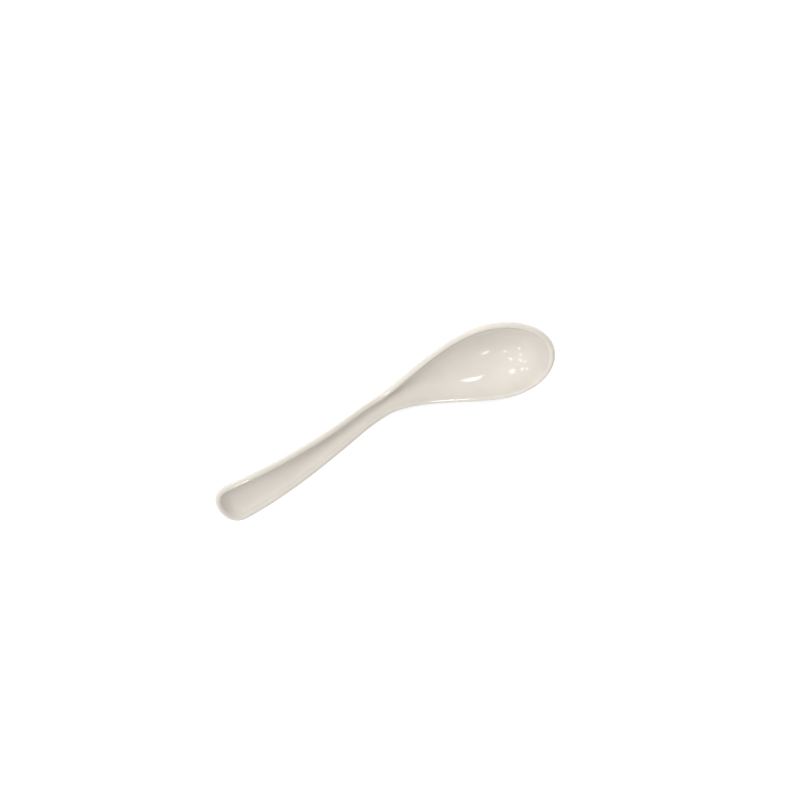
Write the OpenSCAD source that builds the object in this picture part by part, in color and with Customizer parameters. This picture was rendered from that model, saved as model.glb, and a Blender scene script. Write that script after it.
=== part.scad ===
// Melamine spoon: an egg-shaped bowl that runs into a channelled handle with a rolled rim.
// The object is one moulding, so it has one sub-part.
// Stations are measured from the bowl tip along X. Heights are measured from the foot plane.

/* [Bowl] */
// Overall length from the bowl tip to the end of the handle
spoon_length = 170; // [155:1:190]
// Width of the bowl at its widest, over the rim
bowl_width = 43.2; // [38:0.2:48]
// Distance from the tip to the widest station
bowl_widest_at = 26.8; // [24:0.2:30]
// Lean of the bowl wall outwards from vertical, just under the rim, in degrees
bowl_lean = 27.5; // [20:0.5:34]
// Thickness of the floor of the bowl
bowl_floor = 2.9; // [2.2:0.1:3.4]
// Distance from the tip to the station where the bowl section starts to narrow into the channel
bowl_back_at = 45; // [42:1:50]
// Rise of the inside of the floor from there to the back of the foot
floor_back_rise = 1; // [0.2:0.1:1.6]

/* [Neck] */
// Width of the neck over the rim, where the spoon is narrowest
neck_width = 11.8; // [10:0.2:15]
// Distance from the tip to the narrowest station
neck_at = 85.3; // [80:0.1:90]
// Run past the narrowest station in which the section becomes the full channel
neck_run = 8; // [5:1:12]
// Height of the underside at the end of that run
neck_clearance = 11.7; // [10:0.1:13]
// Slope of the underside there, in degrees
neck_slope = 25; // [22:0.5:28]

/* [Handle] */
// Width of the handle where its end corners start
end_width = 21.2; // [17:0.2:25]
// Flare of the handle sides there, in degrees
end_flare = 3.2; // [1:0.2:6]
// Length of an end corner, along the handle
end_corner_length = 8.5; // [6:0.5:11]
// Width of an end corner, across the handle
end_corner_width = 5.8; // [4:0.2:8]
// How far the end edge bulges past its corners
end_bulge = 0.8; // [0.4:0.1:2]
// Depth of the handle at its end, from the rim to the underside
end_depth = 7.6; // [6:0.1:9]
// Lean of the channel wall outwards from vertical, just under the rim, in degrees
channel_lean = 13; // [8:0.5:18]

/* [Rim line seen from the side] */
// Height of the rim at the bowl tip
tip_height = 18; // [16:0.1:20]
// Fall of the rim behind the tip, in degrees
tip_fall = 2; // [0:0.2:4]
// Distance from the tip to the steepest station of the handle
rise_at = 98.9; // [96:0.1:102]
// Height of the rim at the steepest station
rise_height = 21; // [20:0.1:22.5]
// Slope of the rim at the steepest station, in degrees
rise_slope = 31.3; // [28:0.1:34]
// Height of the rim at the end of the handle
end_height = 46.2; // [42:0.1:50]
// Slope of the rim at the end of the handle, in degrees
end_slope = 5.8; // [3:0.1:10]

/* [Wall and foot] */
// Thickness of the wall and of the rounded rim
wall = 2.8; // [2.2:0.1:3.2]
// Distance from the tip to the front of the flat foot
foot_front_at = 31; // [29:0.5:33]
// Length of the flat foot
foot_length = 38.5; // [36:0.5:40]
// Width of the flat strip of the underside at the middle of the foot
foot_width = 13; // [8:0.5:16]
// Width of the flat strip of the underside away from the foot
keel_width = 2; // [1:0.1:3]
// Height of the underside where the ribs of the tip begin
tip_ramp_height = 0.8; // [0.5:0.1:1.2]
// Depth that is ground off the underside to make the foot flat
foot_grind = 0.2; // [0.1:0.05:0.3]

/* [Hidden] */

// The ribs of the tip and of the handle end fan out from stretches of the spine.
// The stretch at the tip starts this far behind the edge, and the one at the end this far before it
tip_fan = 20;
end_fan = 7;

// Length of each curve handle, as a share of the span of its own curve
tip_blunt_share = 0.55;
tip_round_share = 0.56;
shoulder_share = 0.32;
neck_share = 0.24;
handle_front_share = 0.34;
handle_back_share = 0.43;
corner_share = 0.55;
end_edge_share = 1 / 3;
bowl_floor_share = 0.55;
bowl_wall_share = 0.45;
channel_floor_share = 0.6;
channel_wall_share = 0.5;

// Facet counts: stations on each outline curve, rows on a wall, rows round the rim
outline_counts = [12, 16, 15, 6, 4];
wall_rows = 7;
rim_rows = 6;

ivory = [0.93, 0.91, 0.87];

foot_centre_at = foot_front_at + foot_length / 2;
foot_back_at = foot_front_at + foot_length;
channel_from = neck_at + neck_run;
corner_from = spoon_length - end_bulge - end_corner_length;
end_spine_at = spoon_length - end_fan;

// Curves
function mix(a, b, part) = a + (b - a) * part;
function limited(x, low, high) = max(low, min(high, x));
function eased(part) = part * part * (3 - 2 * part);
function unit(v) = v / norm(v);

function curve_point(c, t) =
    let (s = 1 - t)
    s * s * s * c[0] + 3 * s * s * t * c[1] + 3 * s * t * t * c[2] + t * t * t * c[3];

function curve_way(c, t) =
    let (s = 1 - t)
    s * s * (c[1] - c[0]) + 2 * s * t * (c[2] - c[1]) + t * t * (c[3] - c[2]);

// A span is [start, height, slope, end, height, slope], with slopes as rise over run
function span_height(g, x) =
    let (run = g[3] - g[0], t = (x - g[0]) / run)
    (2 * t - 3) * t * t * (g[1] - g[4]) + g[1]
        + ((t - 2) * t + 1) * t * run * g[2]
        + (t - 1) * t * t * run * g[5];

function span_slope(g, x) =
    let (run = g[3] - g[0], t = (x - g[0]) / run)
    6 * (t - 1) * t * (g[1] - g[4]) / run
        + ((3 * t - 4) * t + 1) * g[2]
        + (3 * t - 2) * t * g[5];

// Outline of one half seen from above, from the tip to the middle of the handle end
bowl_half = bowl_width / 2;
neck_half = neck_width / 2;
end_half = end_width / 2;
back_run = neck_at - bowl_widest_at;
handle_run = corner_from - neck_at;
flare = tan(end_flare);
corner_tip = [corner_from + end_corner_length, end_half - end_corner_width];
corner_span = end_corner_width + flare * end_corner_length;
end_way = unit([end_bulge, -corner_tip[1] / 2]);

tip_curve = [
    [0, 0],
    [0, tip_blunt_share * bowl_half],
    [bowl_widest_at * (1 - tip_round_share), bowl_half],
    [bowl_widest_at, bowl_half]
];
back_curve = [
    [bowl_widest_at, bowl_half],
    [bowl_widest_at + shoulder_share * back_run, bowl_half],
    [neck_at - neck_share * back_run, neck_half],
    [neck_at, neck_half]
];
handle_curve = [
    [neck_at, neck_half],
    [neck_at + handle_front_share * handle_run, neck_half],
    [corner_from - handle_back_share * handle_run, end_half - flare * handle_back_share * handle_run],
    [corner_from, end_half]
];
corner_curve = [
    [corner_from, end_half],
    [corner_from + corner_share * end_corner_length, end_half + flare * corner_share * end_corner_length],
    corner_tip - end_way * corner_share * corner_span,
    corner_tip
];
end_curve = [
    corner_tip,
    corner_tip + [end_bulge, -corner_tip[1] / 2] * 2 * end_edge_share,
    [spoon_length, corner_tip[1] * end_edge_share],
    [spoon_length, 0]
];
outline_curves = [tip_curve, back_curve, handle_curve, corner_curve, end_curve];

// Each station is [place on the outline, unit vector along the outline]
stations = [
    for (k = [0 : len(outline_curves) - 1])
        for (i = [0 : outline_counts[k] - (k < len(outline_curves) - 1 ? 1 : 0)])
            let (t = i / outline_counts[k])
            [curve_point(outline_curves[k], t), unit(curve_way(outline_curves[k], t))]
];

// Side view: the top of the rim, and the underside along the spine
rim_front = [0, tip_height, -tan(tip_fall), rise_at, rise_height, tan(rise_slope)];
rim_back = [rise_at, rise_height, tan(rise_slope), spoon_length, end_height, tan(end_slope)];
function rim_height(x) = x < rise_at ? span_height(rim_front, x) : span_height(rim_back, x);
function rim_slope(x) = x < rise_at ? span_slope(rim_front, x) : span_slope(rim_back, x);

end_under = rim_height(end_spine_at) - end_depth;
under_back = [foot_back_at, -foot_grind, 0, channel_from, neck_clearance, tan(neck_slope)];
under_handle = [channel_from, neck_clearance, tan(neck_slope), end_spine_at, end_under, tan(end_slope)];
ramp_run = foot_front_at - tip_fan;
ramp_rise = tip_ramp_height + foot_grind;
function ramp_part(x) = max(0, foot_front_at - x) / ramp_run;
function under_height(x) =
    x < foot_back_at ? ramp_rise * ramp_part(x) * ramp_part(x) - foot_grind
    : x < channel_from ? span_height(under_back, x)
    : span_height(under_handle, x);
function under_slope(x) =
    x < foot_back_at ? -2 * ramp_rise * ramp_part(x) / ramp_run
    : x < channel_from ? span_slope(under_back, x)
    : span_slope(under_handle, x);

// Side view of the inside. The floor is even under the bowl, rises in a parabola to the back of the
// foot, and runs from there into the channel
back_height = bowl_floor + floor_back_rise;
back_slope = 2 * floor_back_rise / (foot_back_at - bowl_back_at);
floor_back = [bowl_back_at, bowl_floor, 0, foot_back_at, back_height, back_slope];
floor_neck = [foot_back_at, back_height, back_slope, channel_from, neck_clearance + wall, tan(neck_slope)];
function floor_height(x) =
    x < bowl_back_at ? under_height(x) + foot_grind + bowl_floor
    : x < foot_back_at ? span_height(floor_back, x)
    : x < channel_from ? span_height(floor_neck, x)
    : under_height(x) + wall;
function floor_slope(x) =
    x < bowl_back_at ? under_slope(x)
    : x < foot_back_at ? span_slope(floor_back, x)
    : x < channel_from ? span_slope(floor_neck, x)
    : under_slope(x);

// Half width of the flat strip of the underside
function strip_half(x) =
    let (part = limited(abs(x - foot_centre_at) * 2 / foot_length, 0, 1))
    mix(foot_width, keel_width, part * part) / 2;

// Where the rib of a station starts on the spine
function spine_at(x) =
    x < 2 * tip_fan ? tip_fan + x * x / (4 * tip_fan)
    : x > spoon_length - 2 * end_fan ? end_spine_at - pow(spoon_length - x, 2) / (4 * end_fan)
    : x;

// How far the section at a spine station has turned from bowl to channel
function channel_part(x) = eased(limited((x - bowl_back_at) / (channel_from - bowl_back_at), 0, 1));

// One wall of a rib, as rows from its foot to the rim. The curve leaves its foot along the spine's
// surface and meets the rim's round in the tangent plane of the rim
function wall_curve(foot, top, along, outward, slope_along, lean, floor_reach, wall_reach, foot_slope) =
    let (
        reach = [top[0] - foot[0], top[1] - foot[1]],
        ray = unit(reach),
        floor_run = floor_reach * norm(reach),
        wall_run = wall_reach * (top[2] - foot[2]),
        square_on = ray * outward,
        level_in = sin(lean) / square_on,
        drop = cos(lean) + slope_along * sin(lean) * (ray * along) / square_on
    )
    [
        foot,
        foot + [ray[0] * floor_run, ray[1] * floor_run, foot_slope * ray[0] * floor_run],
        top - [ray[0] * level_in, ray[1] * level_in, drop] * wall_run,
        top
    ];

// A rib goes from the underside of the spine out to the rim, round it, and back to the floor
function rib(station) =
    let (
        place = station[0],
        along = station[1],
        outward = [-along[1], along[0]],
        from_spine = spine_at(place[0]),
        part = channel_part(from_spine),
        lean = mix(bowl_lean, channel_lean, part),
        floor_reach = mix(bowl_floor_share, channel_floor_share, part),
        wall_reach = mix(bowl_wall_share, channel_wall_share, part),
        round_r = wall / 2,
        rim_centre = place - outward * round_r,
        rim_z = rim_height(rim_centre[0]) - round_r,
        slope_along = rim_slope(rim_centre[0]) * along[0],
        rim_point = function (angle) concat(
            rim_centre + outward * round_r * cos(angle),
            rim_z + round_r * sin(angle)
        ),
        spine = [from_spine, 0],
        ray = unit(rim_centre - spine),
        strip = strip_half(from_spine),
        under_z = under_height(from_spine),
        under_lean = under_slope(from_spine),
        under_spine = concat(spine, under_z),
        under_edge = concat(spine + ray * strip, under_z + under_lean * ray[0] * strip),
        floor_spine = concat(spine, floor_height(from_spine)),
        outer = wall_curve(under_edge, rim_point(-lean), along, outward, slope_along, lean,
            floor_reach, wall_reach, under_lean),
        inner = wall_curve(floor_spine, rim_point(180 - lean), along, outward, slope_along, lean,
            floor_reach, wall_reach, floor_slope(from_spine))
    )
    concat(
        [under_spine],
        [for (i = [0 : wall_rows]) curve_point(outer, i / wall_rows)],
        [for (i = [1 : rim_rows - 1]) rim_point(180 * i / rim_rows - lean)],
        [for (i = [0 : wall_rows]) curve_point(inner, 1 - i / wall_rows)]
    );

// The skin joins each rib, and its mirror image, to the next. The first and last ribs lie in the
// plane of symmetry, so there the two sides share their points
half_rows = 2 * wall_rows + rim_rows + 2;
ring_rows = 2 * half_rows - 2;
last_station = len(stations) - 1;

function mirrored(rib_points) = [
    for (i = [half_rows - 2 : -1 : 1]) [rib_points[i][0], -rib_points[i][1], rib_points[i][2]]
];
function at_end(i) = i == 0 || i == last_station;
function row_index(row) = row < half_rows ? row : ring_rows - row;
function point_index(i, row) =
    let (turned = row % ring_rows)
    i == 0 ? row_index(turned)
    : half_rows + (i - 1) * ring_rows + (i == last_station ? row_index(turned) : turned);

skin_points = [
    for (i = [0 : last_station])
        let (points = rib(stations[i]))
        each at_end(i) ? points : concat(points, mirrored(points))
];
// A cell beside the spine at an end must be split so that no triangle lies in the plane of symmetry
function split_from_first(i, twin) = (twin < half_rows / 2) != (i == last_station - 1);
skin_faces = [
    for (i = [0 : last_station - 1])
        for (row = [0 : ring_rows - 1])
            let (
                a = point_index(i, row),
                b = point_index(i, row + 1),
                c = point_index(i + 1, row + 1),
                d = point_index(i + 1, row),
                right = row < half_rows - 1,
                twin = right ? row : ring_rows - 1 - row
            )
            each right == split_from_first(i, twin) ? [[a, c, b], [a, d, c]] : [[a, d, b], [b, d, c]]
];

// The whole moulding, with the origin at the centre of its flat foot
module spoon_body() {
    color(ivory)
        difference() {
            translate([-foot_centre_at, 0, 0])
                polyhedron(points = skin_points, faces = skin_faces, convexity = 4);
            translate([-foot_length, -foot_width, -foot_width])
                cube([2 * foot_length, 2 * foot_width, foot_width]);
        }
}

spoon_body();
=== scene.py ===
"""A melamine spoon on a pale studio floor: its moulded surface, its finish, the lights and the camera.

Lengths are in millimetres until they go into Blender, which takes metres. Stations are measured
along X from the tip of the bowl, and heights from the foot."""
import math
import bmesh
import bpy
from mathutils import Matrix, Vector


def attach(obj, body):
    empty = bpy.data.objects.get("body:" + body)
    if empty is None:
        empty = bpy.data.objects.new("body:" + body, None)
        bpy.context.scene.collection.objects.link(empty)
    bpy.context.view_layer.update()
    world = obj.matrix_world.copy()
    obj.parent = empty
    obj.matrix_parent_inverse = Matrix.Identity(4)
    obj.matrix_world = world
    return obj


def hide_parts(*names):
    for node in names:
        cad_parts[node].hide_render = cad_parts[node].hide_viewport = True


MM = 0.001

# The spoon's sizes, as its mould has them
SPOON_LENGTH = 170.0
BOWL_WIDTH = 43.2
BOWL_WIDEST_AT = 26.8
BOWL_LEAN = math.radians(27.5)
BOWL_FLOOR = 2.9
BOWL_BACK_AT = 45.0
FLOOR_BACK_RISE = 1.0
NECK_WIDTH = 11.8
NECK_AT = 85.3
NECK_RUN = 8.0
NECK_CLEARANCE = 11.7
NECK_SLOPE = math.tan(math.radians(25.0))
END_WIDTH = 21.2
END_FLARE = math.tan(math.radians(3.2))
END_CORNER_LENGTH = 8.5
END_CORNER_WIDTH = 5.8
END_BULGE = 0.8
END_DEPTH = 7.6
CHANNEL_LEAN = math.radians(13.0)
TIP_HEIGHT = 18.0
TIP_FALL = math.tan(math.radians(2.0))
RISE_AT = 98.9
RISE_HEIGHT = 21.0
RISE_SLOPE = math.tan(math.radians(31.3))
END_HEIGHT = 46.2
END_SLOPE = math.tan(math.radians(5.8))
WALL = 2.8
FOOT_FRONT_AT = 31.0
FOOT_LENGTH = 38.5
FOOT_WIDTH = 13.0
KEEL_WIDTH = 2.0
TIP_RAMP_HEIGHT = 0.8
FOOT_GRIND = 0.2
TIP_FAN = 20.0
END_FAN = 7.0

# Length of each curve handle, as a share of the span of its own curve
TIP_BLUNT_SHARE = 0.55
TIP_ROUND_SHARE = 0.56
SHOULDER_SHARE = 0.32
NECK_SHARE = 0.24
HANDLE_FRONT_SHARE = 0.34
HANDLE_BACK_SHARE = 0.43
CORNER_SHARE = 0.55
END_EDGE_SHARE = 1 / 3
BOWL_FLOOR_SHARE = 0.55
BOWL_WALL_SHARE = 0.45
CHANNEL_FLOOR_SHARE = 0.6
CHANNEL_WALL_SHARE = 0.5

# Mesh counts: stations on each outline curve, and rows across the skin
OUTLINE_COUNTS = (44, 64, 60, 22, 14)
STRIP_ROWS = 4
OUTER_ROWS = 22
RIM_ROWS = 16
INNER_ROWS = 30

# How near two points are made one, along the spoon's middle and anywhere, and the slack of the foot's cut
SEAM_REACH = 0.001
MERGE_REACH = 0.02
CUT_SLACK = 0.0005

FOOT_CENTRE_AT = FOOT_FRONT_AT + FOOT_LENGTH / 2
FOOT_BACK_AT = FOOT_FRONT_AT + FOOT_LENGTH
CHANNEL_FROM = NECK_AT + NECK_RUN
CORNER_FROM = SPOON_LENGTH - END_BULGE - END_CORNER_LENGTH
END_SPINE_AT = SPOON_LENGTH - END_FAN


# Curves
def mix(a, b, part):
    return a + (b - a) * part


def limited(value, low, high):
    return max(low, min(high, value))


def eased(part):
    return part * part * (3 - 2 * part)


def curve_point(curve, t):
    """The point of a curve with two ends and two handles, with t from 0 to 1."""
    a, b, c, d = curve
    s = 1 - t
    return s * s * s * a + 3 * s * s * t * b + 3 * s * t * t * c + t * t * t * d


def curve_way(curve, t):
    """The way along the same curve, of no set length."""
    a, b, c, d = curve
    s = 1 - t
    return s * s * (b - a) + 2 * s * t * (c - b) + t * t * (d - c)


def span_height(span, x):
    """The height at x of a smooth line that has a given height and slope at each end of its span."""
    start, low, low_slope, end, high, high_slope = span
    run = end - start
    t = (x - start) / run
    rise = (2 * t - 3) * t * t * (low - high) + low
    return rise + ((t - 2) * t + 1) * t * run * low_slope + (t - 1) * t * t * run * high_slope


def span_slope(span, x):
    """The slope of the same line at x."""
    start, low, low_slope, end, high, high_slope = span
    run = end - start
    t = (x - start) / run
    return (6 * (t - 1) * t * (low - high) / run
            + ((3 * t - 4) * t + 1) * low_slope
            + (3 * t - 2) * t * high_slope)


# The outline seen from above, and the height lines seen from the side
def outline_curves():
    """One side of the outline: tip, back of the bowl, side of the handle, corner and end edge."""
    bowl_half = BOWL_WIDTH / 2
    neck_half = NECK_WIDTH / 2
    end_half = END_WIDTH / 2
    back_run = NECK_AT - BOWL_WIDEST_AT
    handle_run = CORNER_FROM - NECK_AT
    corner_tip = Vector((CORNER_FROM + END_CORNER_LENGTH, end_half - END_CORNER_WIDTH))
    corner_span = END_CORNER_WIDTH + END_FLARE * END_CORNER_LENGTH
    end_step = Vector((END_BULGE, -corner_tip.y / 2))
    handle_back = HANDLE_BACK_SHARE * handle_run
    corner_lead = CORNER_SHARE * END_CORNER_LENGTH
    widest = Vector((BOWL_WIDEST_AT, bowl_half))
    neck = Vector((NECK_AT, neck_half))
    corner = Vector((CORNER_FROM, end_half))
    return (
        (Vector((0, 0)), Vector((0, TIP_BLUNT_SHARE * bowl_half)),
         Vector((BOWL_WIDEST_AT * (1 - TIP_ROUND_SHARE), bowl_half)), widest),
        (widest, Vector((BOWL_WIDEST_AT + SHOULDER_SHARE * back_run, bowl_half)),
         Vector((NECK_AT - NECK_SHARE * back_run, neck_half)), neck),
        (neck, Vector((NECK_AT + HANDLE_FRONT_SHARE * handle_run, neck_half)),
         Vector((CORNER_FROM - handle_back, end_half - END_FLARE * handle_back)), corner),
        (corner, Vector((CORNER_FROM + corner_lead, end_half + END_FLARE * corner_lead)),
         corner_tip - end_step.normalized() * CORNER_SHARE * corner_span, corner_tip),
        (corner_tip, corner_tip + end_step * 2 * END_EDGE_SHARE,
         Vector((SPOON_LENGTH, corner_tip.y * END_EDGE_SHARE)), Vector((SPOON_LENGTH, 0))),
    )


def outline_stations():
    """Pairs of a place on the outline and the way along it, from the bowl tip to the handle's end."""
    pairs = []
    for curve, count in zip(outline_curves(), OUTLINE_COUNTS):
        for i in range(count):
            pairs.append((curve_point(curve, i / count), curve_way(curve, i / count).normalized()))
    pairs.append((curve_point(curve, 1), curve_way(curve, 1).normalized()))
    return pairs


# Each span of a height line has its start and the height and slope there, then the same for its end
RIM_FRONT = (0, TIP_HEIGHT, -TIP_FALL, RISE_AT, RISE_HEIGHT, RISE_SLOPE)
RIM_BACK = (RISE_AT, RISE_HEIGHT, RISE_SLOPE, SPOON_LENGTH, END_HEIGHT, END_SLOPE)


def rim_span(x):
    return RIM_FRONT if x < RISE_AT else RIM_BACK


END_UNDER = span_height(RIM_BACK, END_SPINE_AT) - END_DEPTH
UNDER_BACK = (FOOT_BACK_AT, -FOOT_GRIND, 0, CHANNEL_FROM, NECK_CLEARANCE, NECK_SLOPE)
UNDER_HANDLE = (CHANNEL_FROM, NECK_CLEARANCE, NECK_SLOPE, END_SPINE_AT, END_UNDER, END_SLOPE)


def underside(x):
    """Height and slope of the underside along the spine."""
    if x < FOOT_BACK_AT:
        run = FOOT_FRONT_AT - TIP_FAN
        part = max(0, FOOT_FRONT_AT - x) / run
        rise = TIP_RAMP_HEIGHT + FOOT_GRIND
        return rise * part * part - FOOT_GRIND, -2 * rise * part / run
    span = UNDER_BACK if x < CHANNEL_FROM else UNDER_HANDLE
    return span_height(span, x), span_slope(span, x)


# The inside of the floor leaves the bowl level and bends up evenly to the back of the foot
BACK_HEIGHT = BOWL_FLOOR + FLOOR_BACK_RISE
BACK_SLOPE = 2 * FLOOR_BACK_RISE / (FOOT_BACK_AT - BOWL_BACK_AT)
FLOOR_BACK = (BOWL_BACK_AT, BOWL_FLOOR, 0, FOOT_BACK_AT, BACK_HEIGHT, BACK_SLOPE)
FLOOR_NECK = (FOOT_BACK_AT, BACK_HEIGHT, BACK_SLOPE, CHANNEL_FROM, NECK_CLEARANCE + WALL, NECK_SLOPE)


def inside(x):
    """Height and slope of the inside of the floor along the spine: even under the bowl, then rising
    from there to the back of the foot and on into the channel."""
    if x < BOWL_BACK_AT or x >= CHANNEL_FROM:
        height, slope = underside(x)
        return height + (BOWL_FLOOR + FOOT_GRIND if x < BOWL_BACK_AT else WALL), slope
    span = FLOOR_BACK if x < FOOT_BACK_AT else FLOOR_NECK
    return span_height(span, x), span_slope(span, x)


def spine_at(x):
    """Where on the spine the rib of an outline station starts. The ribs fan out at both ends."""
    if x < 2 * TIP_FAN:
        return TIP_FAN + x * x / (4 * TIP_FAN)
    if x > SPOON_LENGTH - 2 * END_FAN:
        return END_SPINE_AT - (SPOON_LENGTH - x) ** 2 / (4 * END_FAN)
    return x


# One rib of the skin, from the spine of the underside round the rim to the floor
def wall_curve(foot, top, along, outward, rim_slope, lean, floor_share, wall_share, foot_slope):
    """The curve of a wall in the plane of its rib. It leaves its foot at the slope of the spine and
    meets its top on the rim at the lean of the wall."""
    reach = (top - foot).to_2d()
    ray = reach.normalized()
    floor_run = floor_share * reach.length
    wall_run = wall_share * (top.z - foot.z)
    square_on = ray.dot(outward)
    level_in = math.sin(lean) / square_on
    drop = math.cos(lean) + rim_slope * math.sin(lean) * ray.dot(along) / square_on
    return (
        foot,
        foot + Vector((ray.x, ray.y, foot_slope * ray.x)) * floor_run,
        top - Vector((ray.x * level_in, ray.y * level_in, drop)) * wall_run,
        top,
    )


def rib(place, along):
    """The points of one rib: the strip of the foot, the outer wall, the round rim and the inner wall."""
    outward = Vector((-along.y, along.x))
    spine_x = spine_at(place.x)
    part = eased(limited((spine_x - BOWL_BACK_AT) / (CHANNEL_FROM - BOWL_BACK_AT), 0, 1))
    lean = mix(BOWL_LEAN, CHANNEL_LEAN, part)
    floor_share = mix(BOWL_FLOOR_SHARE, CHANNEL_FLOOR_SHARE, part)
    wall_share = mix(BOWL_WALL_SHARE, CHANNEL_WALL_SHARE, part)
    radius = WALL / 2
    rim_centre = place - outward * radius
    rim_z = span_height(rim_span(rim_centre.x), rim_centre.x) - radius
    rim_slope = span_slope(rim_span(rim_centre.x), rim_centre.x) * along.x
    under_z, under_slope = underside(spine_x)
    spine = Vector((spine_x, 0, under_z))
    ray = (rim_centre - spine.to_2d()).normalized()
    off_centre = limited(abs(spine_x - FOOT_CENTRE_AT) * 2 / FOOT_LENGTH, 0, 1)
    strip = mix(FOOT_WIDTH, KEEL_WIDTH, off_centre * off_centre) / 2
    strip_edge = spine + Vector((ray.x, ray.y, under_slope * ray.x)) * strip
    floor_z, floor_slope = inside(spine_x)
    floor = Vector((spine_x, 0, floor_z))

    def rim_point(angle):
        level = rim_centre + outward * radius * math.cos(angle)
        return Vector((level.x, level.y, rim_z + radius * math.sin(angle)))

    shape = (along, outward, rim_slope, lean, floor_share, wall_share)
    outer = wall_curve(strip_edge, rim_point(-lean), *shape, under_slope)
    inner = wall_curve(floor, rim_point(math.pi - lean), *shape, floor_slope)
    return (
        [spine.lerp(strip_edge, i / STRIP_ROWS) for i in range(STRIP_ROWS)]
        + [curve_point(outer, i / OUTER_ROWS) for i in range(OUTER_ROWS)]
        + [rim_point(math.pi * i / RIM_ROWS - lean) for i in range(RIM_ROWS)]
        + [curve_point(inner, 1 - i / INNER_ROWS) for i in range(INNER_ROWS + 1)]
    )


# The moulding
def new_piece(name, mesh, material):
    data = bpy.data.meshes.new(name)
    mesh.to_mesh(data)
    mesh.free()
    data.materials.append(material)
    piece = bpy.data.objects.new(name, data)
    bpy.context.scene.collection.objects.link(piece)
    return piece


def all_of(mesh):
    return mesh.verts[:] + mesh.edges[:] + mesh.faces[:]


def moulded_spoon(material):
    """One half of the skin is a grid laid over the ribs. It is mirrored, and ground flat at the foot."""
    ribs = [rib(*station) for station in outline_stations()]
    skin = bmesh.new()
    across, around = len(ribs) - 1, len(ribs[0]) - 1
    bmesh.ops.create_grid(skin, x_segments=across, y_segments=around, size=0.5)
    for vert in skin.verts:
        point = ribs[round((vert.co.x + 0.5) * across)][round((vert.co.y + 0.5) * around)]
        vert.co = (point - Vector((FOOT_CENTRE_AT, 0, 0))) * MM
    bmesh.ops.mirror(skin, geom=all_of(skin), axis="Y", merge_dist=SEAM_REACH * MM)
    bmesh.ops.remove_doubles(skin, verts=skin.verts, dist=MERGE_REACH * MM)
    bmesh.ops.recalc_face_normals(skin, faces=skin.faces)
    for face in skin.faces:
        face.smooth = True
    bmesh.ops.bisect_plane(skin, geom=all_of(skin), dist=CUT_SLACK * MM,
                           plane_co=(0, 0, 0), plane_no=(0, 0, 1), clear_inner=True)
    ground_edge = [edge for edge in skin.edges if edge.is_boundary]
    bmesh.ops.holes_fill(skin, edges=ground_edge, sides=0)
    for edge in ground_edge:
        edge.smooth = False
    return new_piece("moulded_spoon", skin, material)


# Finish of the melamine: its two ivories, index of refraction, roughnesses and sizes of its patterns
IVORY_SHADE = "D7D1C8"
IVORY_LIGHT = "DCD6CD"
MELAMINE_IOR = 1.55
POLISHED_ROUGHNESS = 0.04
WORN_ROUGHNESS = 0.07
GROUND_ROUGHNESS = 0.42
CLOUD_WIDTH = 14.3
WEAR_WIDTH = 1.11
RIPPLE_WIDTH = 4.0
RIPPLE_DEPTH = 0.01
GROUND_UP_TO = 0.05
POLISHED_FROM = 0.25


def linear(hex_code):
    """An sRGB hex colour as the linear values that a shader takes."""
    channels = [int(hex_code[i:i + 2], 16) / 255 for i in (0, 2, 4)]
    return [c / 12.92 if c <= 0.04045 else ((c + 0.055) / 1.055) ** 2.4 for c in channels] + [1.0]


def scale_for(width):
    """The scale of a noise whose patches are a given number of millimetres wide."""
    return 1 / (width * MM)


def add_node(tree, kind, settings=None, values=None, links=None):
    """Adds a node, sets its properties and socket values, and links its inputs."""
    node = tree.nodes.new(kind)
    for key, value in (settings or {}).items():
        setattr(node, key, value)
    for key, value in (values or {}).items():
        node.inputs[key].default_value = value
    for key, socket in (links or {}).items():
        tree.links.new(socket, node.inputs[key])
    return node


def empty_material(name):
    material = bpy.data.materials.new(name)
    material.use_nodes = True
    material.node_tree.nodes.clear()
    return material, material.node_tree


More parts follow.
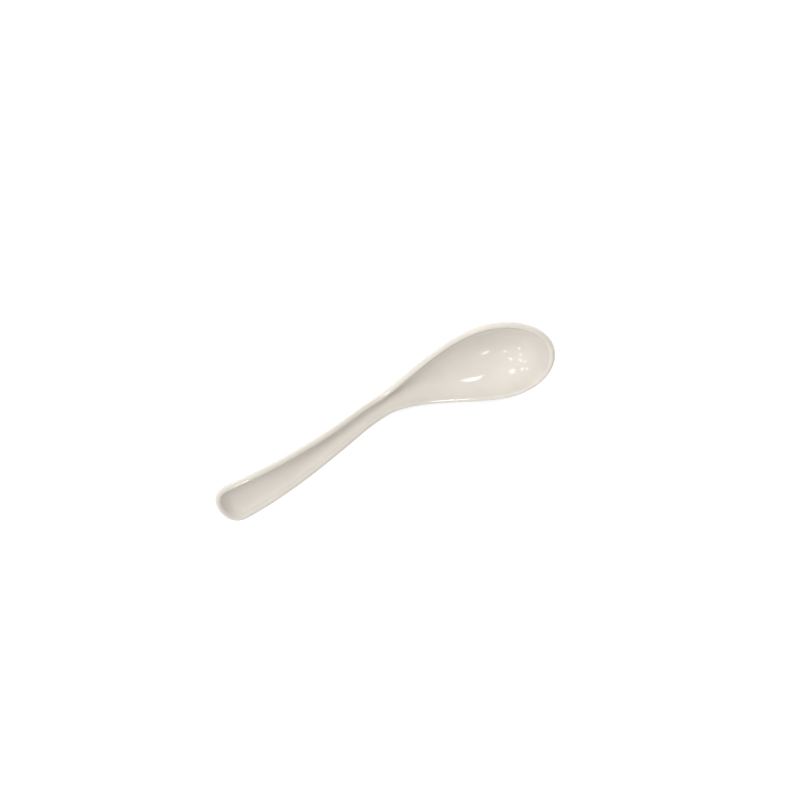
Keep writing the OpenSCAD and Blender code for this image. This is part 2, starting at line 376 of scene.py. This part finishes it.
def polished_melamine():
    """Melamine resin with cellulose filler, pressed in a polished steel mould: an opaque warm ivory
    with a hard gloss, a faint cloudiness from the flow of the resin, and a very slight ripple."""
    material, tree = empty_material("polished_melamine")
    place = add_node(tree, "ShaderNodeTexCoord").outputs["Object"]
    # Cloudiness of the filler, in patches of about 14 mm
    cloud = add_node(tree, "ShaderNodeTexNoise", None,
                     {"Scale": scale_for(CLOUD_WIDTH), "Detail": 3.0, "Roughness": 0.55}, {"Vector": place})
    ivory = add_node(tree, "ShaderNodeValToRGB", None, None, {"Fac": cloud.outputs["Fac"]})
    ivory.color_ramp.elements[0].position = 0.3
    ivory.color_ramp.elements[0].color = linear(IVORY_SHADE)
    ivory.color_ramp.elements[1].position = 0.7
    ivory.color_ramp.elements[1].color = linear(IVORY_LIGHT)
    # Wear from washing, in marks of about 1 mm, dulls the gloss a little
    wear = add_node(tree, "ShaderNodeTexNoise", None,
                    {"Scale": scale_for(WEAR_WIDTH), "Detail": 4.0, "Roughness": 0.6}, {"Vector": place})
    gloss = add_node(tree, "ShaderNodeMapRange", None,
                     {"From Min": 0.35, "From Max": 0.75, "To Min": POLISHED_ROUGHNESS,
                      "To Max": WORN_ROUGHNESS}, {"Value": wear.outputs["Fac"]})
    # The ground foot is dull, and the skin is polished again from 0.25 mm above the table
    height = add_node(tree, "ShaderNodeSeparateXYZ", None, None, {"Vector": place})
    foot = add_node(tree, "ShaderNodeMapRange", {"interpolation_type": "SMOOTHSTEP"},
                    {"From Min": GROUND_UP_TO * MM, "From Max": POLISHED_FROM * MM,
                     "To Min": GROUND_ROUGHNESS, "To Max": 0.0}, {"Value": height.outputs["Z"]})
    dull = add_node(tree, "ShaderNodeMath", {"operation": "MAXIMUM"}, None,
                    {0: gloss.outputs["Result"], 1: foot.outputs["Result"]})
    # Mould ripple of about 4 mm, which only the reflections show
    ripple = add_node(tree, "ShaderNodeTexNoise", None, {"Scale": scale_for(RIPPLE_WIDTH), "Detail": 1.0},
                      {"Vector": place})
    bump = add_node(tree, "ShaderNodeBump", None, {"Strength": 0.12, "Distance": RIPPLE_DEPTH * MM},
                    {"Height": ripple.outputs["Fac"]})
    surface = add_node(tree, "ShaderNodeBsdfPrincipled", None, {"IOR": MELAMINE_IOR},
                       {"Base Color": ivory.outputs["Color"], "Roughness": dull.outputs["Value"],
                        "Normal": bump.outputs["Normal"]})
    add_node(tree, "ShaderNodeOutputMaterial", None, None, {"Surface": surface.outputs["BSDF"]})
    return material


# The studio floor, and how far it reaches to each side
PAPER_WHITE = "F7F7F7"
PAPER_GLOW = 0.25
PAPER_REACH = 4000.0


def floor_paper():
    """White background paper, lit so that it burns out to white around the spoon."""
    material, tree = empty_material("floor_paper")
    paper = add_node(tree, "ShaderNodeBsdfDiffuse", None, {"Color": linear(PAPER_WHITE)})
    glow = add_node(tree, "ShaderNodeEmission", None, {"Color": linear("FFFFFF"), "Strength": PAPER_GLOW})
    lit = add_node(tree, "ShaderNodeAddShader", None, None, {0: paper.outputs[0], 1: glow.outputs[0]})
    add_node(tree, "ShaderNodeOutputMaterial", None, None, {"Surface": lit.outputs["Shader"]})
    return material


def studio_floor():
    paper = bmesh.new()
    bmesh.ops.create_grid(paper, x_segments=1, y_segments=1, size=PAPER_REACH * MM)
    return new_piece("studio_floor", paper, floor_paper())


# Camera and lights, with all angles in degrees
LOOK_AT = (26.25, 0, 20)
CAMERA_AZIMUTH = -108.613
CAMERA_ELEVATION = 53.432
CAMERA_DISTANCE = 480.0
CAMERA_ROLL = 174.080
SENSOR_WIDTH = 36.0
FOCAL_LENGTH = 46.1835
PICTURE_SHIFT_SHARE = 0.010125
NEAREST_IN_VIEW = 10.0

# White walls and ceiling, lit unevenly: azimuth, elevation and strength of each broad glow
WALL_GLOWS = (
    (-60, 42, 0.85),
    (45, 8, 0.84),
    (0, 42, 0.64),
    (90, 8, 0.37),
    (0, 8, 0.29),
    (0, 90, 0.16),
    (60, 42, 0.16),
)
GLOW_NARROWNESS = 8.0

# Large soft lamps behind screens, which the gloss doesn't mirror: azimuth, elevation and watts
SOFT_LAMPS = (
    (-135, 42, 7.0),
    (-90, 42, 4.7),
    (0, 18, 3.6),
    (90, 42, 3.0),
    (90, 18, 1.1),
    (-90, 18, 0.8),
)
SOFT_LAMP_AIM = (30, 0, 20)
SOFT_LAMP_DISTANCE = 1200.0
SOFT_LAMP_WIDTH = 600.0

# Small lamps with a narrow beam, which only the gloss shows, as short bright streaks in the bowl and,
# in the last three rows, along the rim. Each row has the spot on the spoon that mirrors the lamp, then
# the lamp's azimuth and elevation from there and its distance, then the width of its beam, its length,
# breadth and tilt, all as angles, and how many times brighter than white paper it is.
STREAK_LAMPS = (
    (-34.4, 2.6, 4.9, 24.0, 45.0, 450, 18, 5.8, 6.6, 51.7, 6.0),
    (-18.8, -0.5, 2.9, 81.3, 55.0, 100, 40, 5.4, 2.9, 91.8, 5.3),
    (-27.7, 2.6, 3.5, 44.4, 62.1, 450, 18, 1.8, 6.5, 65.6, 6.0),
    (-33.7, 6.1, 5.7, -3.0, 48.4, 450, 18, 4.0, 5.8, 133.9, 4.0),
    (-28.8, 6.8, 4.7, -9.6, 63.7, 450, 18, 7.9, 2.8, 38.3, 6.5),
    (-32.8, 8.3, 6.4, -20.7, 46.8, 450, 18, 7.6, 2.6, 58.8, 8.5),
    (-34.6, 9.0, 7.5, -22.0, 36.6, 450, 18, 3.6, 3.8, 152.1, 6.0),
    (-34.3, 11.9, 9.6, -34.3, 25.9, 450, 18, 3.2, 5.3, -17.1, 5.5),
    (-32.1, 12.1, 8.7, -39.4, 33.2, 450, 18, 7.4, 3.5, 76.7, 5.0),
    (-27.2, 12.1, 7.2, -50.5, 46.3, 450, 18, 11.8, 7.3, 76.7, 5.8),
    (-8.2, 9.5, 5.2, -87.3, 67.2, 450, 18, 12.8, 2.1, 73.4, 10.5),
    (30.3, -5.7, 13.0, -96.4, 58.4, 50, 32, 9.0, 8.7, 90.8, 40.0),
    (104.8, -8.9, 43.6, 121.8, 77.5, 30, 44, 9.5, 25.3, 62.0, 26.0),
    (4.7, 12.6, 11.0, -106.0, 72.0, 20, 24, 43.0, 10.0, 174.7, 48.0),
)


def direction(azimuth, elevation):
    """The way from the spoon to a camera or a light, from its angles in degrees."""
    azimuth, elevation = math.radians(azimuth), math.radians(elevation)
    level = math.cos(elevation)
    return Vector((level * math.cos(azimuth), level * math.sin(azimuth), math.sin(elevation)))


def studio_camera():
    """The viewpoint looks down into the bowl, and the camera is held nearly upside down."""
    back = direction(CAMERA_AZIMUTH, CAMERA_ELEVATION)
    level = Vector((0, 0, 1)).cross(back).normalized()
    right = Matrix.Rotation(math.radians(CAMERA_ROLL), 3, back) @ level
    up = back.cross(right)
    data = bpy.data.cameras.new("studio_camera")
    data.sensor_width = SENSOR_WIDTH
    data.lens = FOCAL_LENGTH
    data.shift_y = PICTURE_SHIFT_SHARE
    data.clip_start = NEAREST_IN_VIEW * MM
    camera = bpy.data.objects.new("studio_camera", data)
    place = (Vector(LOOK_AT) + back * CAMERA_DISTANCE) * MM
    turn = Matrix((right, up, back)).transposed().to_4x4()
    camera.matrix_world = Matrix.Translation(place) @ turn
    bpy.context.scene.collection.objects.link(camera)
    bpy.context.scene.camera = camera


def lamp(name, aim, towards, distance, length, breadth, tilt, watts):
    """A flat lamp that faces a point of the spoon from a given direction and distance. Its lengths are
    in metres and its tilt is in radians, as Blender takes them."""
    data = bpy.data.lights.new(name, "AREA")
    data.shape = "RECTANGLE"
    data.size = length
    data.size_y = breadth
    data.energy = watts
    light = bpy.data.objects.new(name, data)
    facing = towards.to_track_quat("Z", "Y").to_matrix() @ Matrix.Rotation(tilt, 3, "Z")
    light.matrix_world = Matrix.Translation(aim + towards * distance) @ facing.to_4x4()
    bpy.context.scene.collection.objects.link(light)
    return light


def soft_lamps():
    width = SOFT_LAMP_WIDTH * MM
    for azimuth, elevation, watts in SOFT_LAMPS:
        soft = lamp("soft_lamp", Vector(SOFT_LAMP_AIM) * MM, direction(azimuth, elevation),
                    SOFT_LAMP_DISTANCE * MM, width, width, 0, watts)
        soft.visible_glossy = False


def streak_lamps():
    for x, y, z, azimuth, elevation, distance, beam, length, breadth, tilt, brightness in STREAK_LAMPS:
        distance = distance * MM
        length = 2 * distance * math.tan(math.radians(length) / 2)
        breadth = 2 * distance * math.tan(math.radians(breadth) / 2)
        # A narrow beam is as bright as a wide one for less power
        half_beam = math.radians(beam) / 2
        narrowing = 1 - half_beam / math.tan(half_beam)
        watts = math.pi * length * breadth * brightness * narrowing
        streak = lamp("streak_lamp", Vector((x, y, z)) * MM, direction(azimuth, elevation),
                      distance, length, breadth, math.radians(tilt), watts)
        streak.data.spread = 2 * half_beam
        streak.visible_diffuse = False
        streak.visible_camera = False


def studio_air():
    """The light of the walls. Each glow is strongest along its own direction and fades away from it."""
    world = bpy.data.worlds.new("studio_air")
    world.use_nodes = True
    tree = world.node_tree
    way = add_node(tree, "ShaderNodeTexCoord").outputs["Generated"]
    total = None
    for azimuth, elevation, strength in WALL_GLOWS:
        facing = add_node(tree, "ShaderNodeVectorMath", {"operation": "DOT_PRODUCT"},
                          {1: direction(azimuth, elevation)}, {0: way})
        ahead = add_node(tree, "ShaderNodeMath", {"operation": "MAXIMUM"}, {1: 0.0},
                         {0: facing.outputs["Value"]})
        fading = add_node(tree, "ShaderNodeMath", {"operation": "POWER"}, {1: GLOW_NARROWNESS},
                          {0: ahead.outputs["Value"]})
        added = add_node(tree, "ShaderNodeMath", {"operation": "MULTIPLY_ADD"}, {1: strength, 2: 0.0},
                         {0: fading.outputs["Value"]})
        if total:
            tree.links.new(total, added.inputs[2])
        total = added.outputs["Value"]
    background = tree.nodes["Background"]
    background.inputs["Color"].default_value = linear("FFFFFF")
    tree.links.new(total, background.inputs["Strength"])
    bpy.context.scene.world = world


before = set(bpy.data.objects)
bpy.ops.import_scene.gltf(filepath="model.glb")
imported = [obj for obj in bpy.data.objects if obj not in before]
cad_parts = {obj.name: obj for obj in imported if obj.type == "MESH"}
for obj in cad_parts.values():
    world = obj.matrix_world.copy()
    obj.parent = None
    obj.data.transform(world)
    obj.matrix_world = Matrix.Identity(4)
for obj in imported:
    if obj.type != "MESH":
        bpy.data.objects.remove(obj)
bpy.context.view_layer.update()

spoon = moulded_spoon(polished_melamine())
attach(spoon, "root")
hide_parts("spoon_body")
studio_floor()

studio_camera()
studio_air()
soft_lamps()
streak_lamps()
bpy.context.scene.view_settings.view_transform = "Standard"
